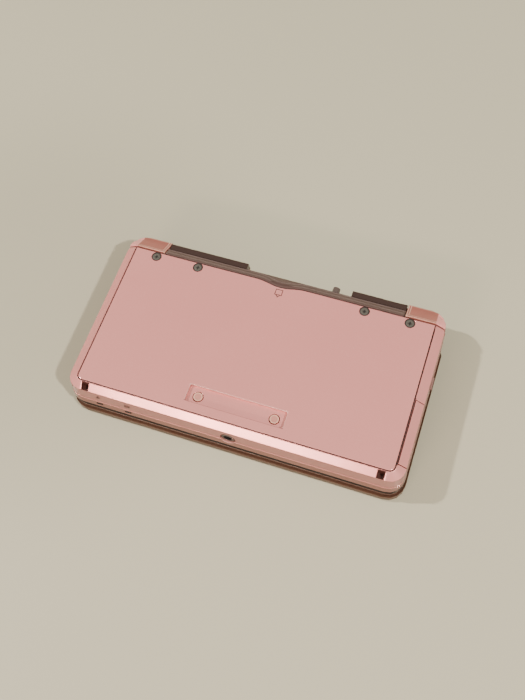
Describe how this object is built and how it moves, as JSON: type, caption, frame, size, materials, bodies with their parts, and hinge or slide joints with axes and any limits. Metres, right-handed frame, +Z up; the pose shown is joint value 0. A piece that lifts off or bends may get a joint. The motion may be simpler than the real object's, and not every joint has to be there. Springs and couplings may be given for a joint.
{
  "type": "clamshell handheld game console",
  "caption": "Folding pocket game console with an upper and a lower screen, a circle pad, keys, shoulder buttons, card slots and a telescopic stylus, shown closed.",
  "frame": {"origin": "on the surface it lies on, under the middle of the closed case", "axes": "+Z up from the lid's outer face to the bottom cover, +Y towards the hinge, +X towards the console's left side"},
  "size_m": [0.134, 0.074, 0.021],
  "materials": {
    "lid_cover": "clear glossy tray",
    "lid_shell": "dark rose brown",
    "lid_bezel": "glossy black",
    "upper_lcd": "screen module",
    "upper_screen_window": "dark screen window",
    "left_speaker": "black",
    "right_speaker": "black",
    "camera_module": "black",
    "left_camera_window": "dark window",
    "right_camera_window": "dark window",
    "hinge_clutch": "dark steel",
    "hinge_cable": "amber film",
    "control_shell": "rose brown",
    "bottom_shell": "pearl pink",
    "bottom_cover": "pearl pink",
    "hinge_shaft": "dark steel",
    "cover_screw_left_outer": "dark steel",
    "cover_screw_left_inner": "dark steel",
    "cover_screw_right_outer": "dark steel",
    "cover_screw_right_inner": "dark steel",
    "shell_screw_left_front": "dark steel",
    "shell_screw_left_rear": "dark steel",
    "shell_screw_right_front": "dark steel",
    "shell_screw_right_rear": "dark steel",
    "lower_lcd": "screen module",
    "touch_panel": "dark touch panel",
    "circle_housing": "black",
    "main_board": "circuit board",
    "wireless_board": "circuit board",
    "battery": "grey wrap",
    "left_charging_contact": "gold plated",
    "right_charging_contact": "gold plated",
    "game_card_socket": "tinned sheet",
    "sd_card": "black",
    "sd_socket": "tinned sheet",
    "headphone_jack": "black",
    "power_connector": "black",
    "light_guide": "clear",
    "left_shoulder_switch": "black",
    "right_shoulder_switch": "black",
    "depth_slider": "grey",
    "button_a": "rose",
    "button_b": "rose",
    "button_x": "rose",
    "button_y": "rose",
    "power_button": "rose",
    "select_button": "rose",
    "home_button": "rose",
    "start_button": "rose",
    "circle_slider": "black",
    "circle_pad": "grey",
    "d_pad_pivot": "grey",
    "d_pad": "rose",
    "volume_slider": "grey",
    "wireless_switch": "grey",
    "sd_door": "pearl pink",
    "stylus": "black",
    "stylus_tip": "dark grey",
    "left_shoulder_button": "translucent salmon",
    "right_shoulder_button": "translucent salmon"
  },
  "bodies": {
    "lid": {"lid_cover": "lid_cover", "lid_shell": "lid_shell", "lid_bezel": "lid_bezel", "upper_lcd": "upper_lcd", "upper_screen_window": "upper_screen_window", "left_speaker": "left_speaker", "right_speaker": "right_speaker", "camera_module": "camera_module", "left_camera_window": "left_camera_window", "right_camera_window": "right_camera_window", "hinge_clutch": "hinge_clutch", "hinge_cable": "hinge_cable"},
    "base": {"control_shell": "control_shell", "bottom_shell": "bottom_shell", "bottom_cover": "bottom_cover", "hinge_shaft": "hinge_shaft", "cover_screw_left_outer": "cover_screw_left_outer", "cover_screw_left_inner": "cover_screw_left_inner", "cover_screw_right_outer": "cover_screw_right_outer", "cover_screw_right_inner": "cover_screw_right_inner", "shell_screw_left_front": "shell_screw_left_front", "shell_screw_left_rear": "shell_screw_left_rear", "shell_screw_right_front": "shell_screw_right_front", "shell_screw_right_rear": "shell_screw_right_rear", "lower_lcd": "lower_lcd", "touch_panel": "touch_panel", "circle_housing": "circle_housing", "main_board": "main_board", "wireless_board": "wireless_board", "battery": "battery", "left_charging_contact": "left_charging_contact", "right_charging_contact": "right_charging_contact", "game_card_socket": "game_card_socket", "sd_card": "sd_card", "sd_socket": "sd_socket", "headphone_jack": "headphone_jack", "power_connector": "power_connector", "light_guide": "light_guide", "left_shoulder_switch": "left_shoulder_switch", "right_shoulder_switch": "right_shoulder_switch"},
    "depth_slider": {"depth_slider": "depth_slider"},
    "button_a": {"button_a": "button_a"},
    "button_b": {"button_b": "button_b"},
    "button_x": {"button_x": "button_x"},
    "button_y": {"button_y": "button_y"},
    "power_button": {"power_button": "power_button"},
    "select_button": {"select_button": "select_button"},
    "home_button": {"home_button": "home_button"},
    "start_button": {"start_button": "start_button"},
    "circle_slider": {"circle_slider": "circle_slider"},
    "circle_pad": {"circle_pad": "circle_pad"},
    "d_pad_pivot": {"d_pad_pivot": "d_pad_pivot"},
    "d_pad": {"d_pad": "d_pad"},
    "volume_slider": {"volume_slider": "volume_slider"},
    "wireless_switch": {"wireless_switch": "wireless_switch"},
    "sd_door": {"sd_door": "sd_door"},
    "stylus": {"stylus": "stylus"},
    "stylus_tip": {"stylus_tip": "stylus_tip"},
    "left_shoulder_button": {"left_shoulder_button": "left_shoulder_button"},
    "right_shoulder_button": {"right_shoulder_button": "right_shoulder_button"}
  },
  "joints": [
    {"name": "lid_hinge", "type": "hinge", "parent": "lid", "child": "base", "pos_m": [0, 0.032, 0.00885], "axis": [-1, 0, 0], "range_deg": [0, 155]},
    {"name": "depth_slide", "type": "slide", "parent": "lid", "child": "depth_slider", "axis": [0, 1, 0], "range_m": [0, 0.014]},
    {"name": "button_a_press", "type": "slide", "parent": "base", "child": "button_a", "axis": [0, 0, 1], "range_m": [0, 0.0004], "stiffness_N_per_m": 1500, "springref_m": -0.0003},
    {"name": "button_b_press", "type": "slide", "parent": "base", "child": "button_b", "axis": [0, 0, 1], "range_m": [0, 0.0004], "stiffness_N_per_m": 1500, "springref_m": -0.0003},
    {"name": "button_x_press", "type": "slide", "parent": "base", "child": "button_x", "axis": [0, 0, 1], "range_m": [0, 0.0004], "stiffness_N_per_m": 1500, "springref_m": -0.0003},
    {"name": "button_y_press", "type": "slide", "parent": "base", "child": "button_y", "axis": [0, 0, 1], "range_m": [0, 0.0004], "stiffness_N_per_m": 1500, "springref_m": -0.0003},
    {"name": "power_button_press", "type": "slide", "parent": "base", "child": "power_button", "axis": [0, 0, 1], "range_m": [0, 0.0004], "stiffness_N_per_m": 1500, "springref_m": -0.0003},
    {"name": "select_button_press", "type": "slide", "parent": "base", "child": "select_button", "axis": [0, 0, 1], "range_m": [0, 0.00025], "stiffness_N_per_m": 1500, "springref_m": -0.0003},
    {"name": "home_button_press", "type": "slide", "parent": "base", "child": "home_button", "axis": [0, 0, 1], "range_m": [0, 0.00025], "stiffness_N_per_m": 1500, "springref_m": -0.0003},
    {"name": "start_button_press", "type": "slide", "parent": "base", "child": "start_button", "axis": [0, 0, 1], "range_m": [0, 0.00025], "stiffness_N_per_m": 1500, "springref_m": -0.0003},
    {"name": "circle_side_slide", "type": "slide", "parent": "base", "child": "circle_slider", "axis": [1, 0, 0], "range_m": [-0.0015, 0.0015], "stiffness_N_per_m": 200},
    {"name": "circle_front_slide", "type": "slide", "parent": "circle_slider", "child": "circle_pad", "axis": [0, 1, 0], "range_m": [-0.0015, 0.0015], "stiffness_N_per_m": 200},
    {"name": "d_pad_side_tilt", "type": "hinge", "parent": "base", "child": "d_pad_pivot", "pos_m": [0.0495, -0.016, 0.012], "axis": [1, 0, 0], "range_deg": [-2, 2], "stiffness_Nm_per_rad": 0.2},
    {"name": "d_pad_front_tilt", "type": "hinge", "parent": "d_pad_pivot", "child": "d_pad", "pos_m": [0.0495, -0.016, 0.012], "axis": [0, 1, 0], "range_deg": [-2, 2], "stiffness_Nm_per_rad": 0.2},
    {"name": "volume_slide", "type": "slide", "parent": "base", "child": "volume_slider", "axis": [0, 1, 0], "range_m": [0, 0.008]},
    {"name": "wireless_slide", "type": "slide", "parent": "base", "child": "wireless_switch", "axis": [0, 1, 0], "range_m": [0, 0.0025]},
    {"name": "sd_door_hinge", "type": "hinge", "parent": "base", "child": "sd_door", "pos_m": [0.0644, -0.01601, 0.0146], "axis": [0, 1, 0], "range_deg": [0, 100]},
    {"name": "stylus_slide", "type": "slide", "parent": "base", "child": "stylus", "axis": [0, 1, 0], "range_m": [0, 0.066]},
    {"name": "stylus_tip_slide", "type": "slide", "parent": "stylus", "child": "stylus_tip", "axis": [0, -1, 0], "range_m": [0, 0.033]},
    {"name": "left_shoulder_press", "type": "hinge", "parent": "base", "child": "left_shoulder_button", "pos_m": [0.0516, 0.0335, 0.01445], "axis": [0, 0, -1], "range_deg": [0, 1.5], "stiffness_Nm_per_rad": 0.2, "springref_deg": -1.15},
    {"name": "right_shoulder_press", "type": "hinge", "parent": "base", "child": "right_shoulder_button", "pos_m": [-0.0516, 0.0335, 0.01445], "axis": [0, 0, 1], "range_deg": [0, 1.5], "stiffness_Nm_per_rad": 0.2, "springref_deg": -1.15}
  ],
  "couplings": [
    {"joint": "stylus_tip_slide", "follows": "stylus_slide", "ratio": 0.5}
  ]
}
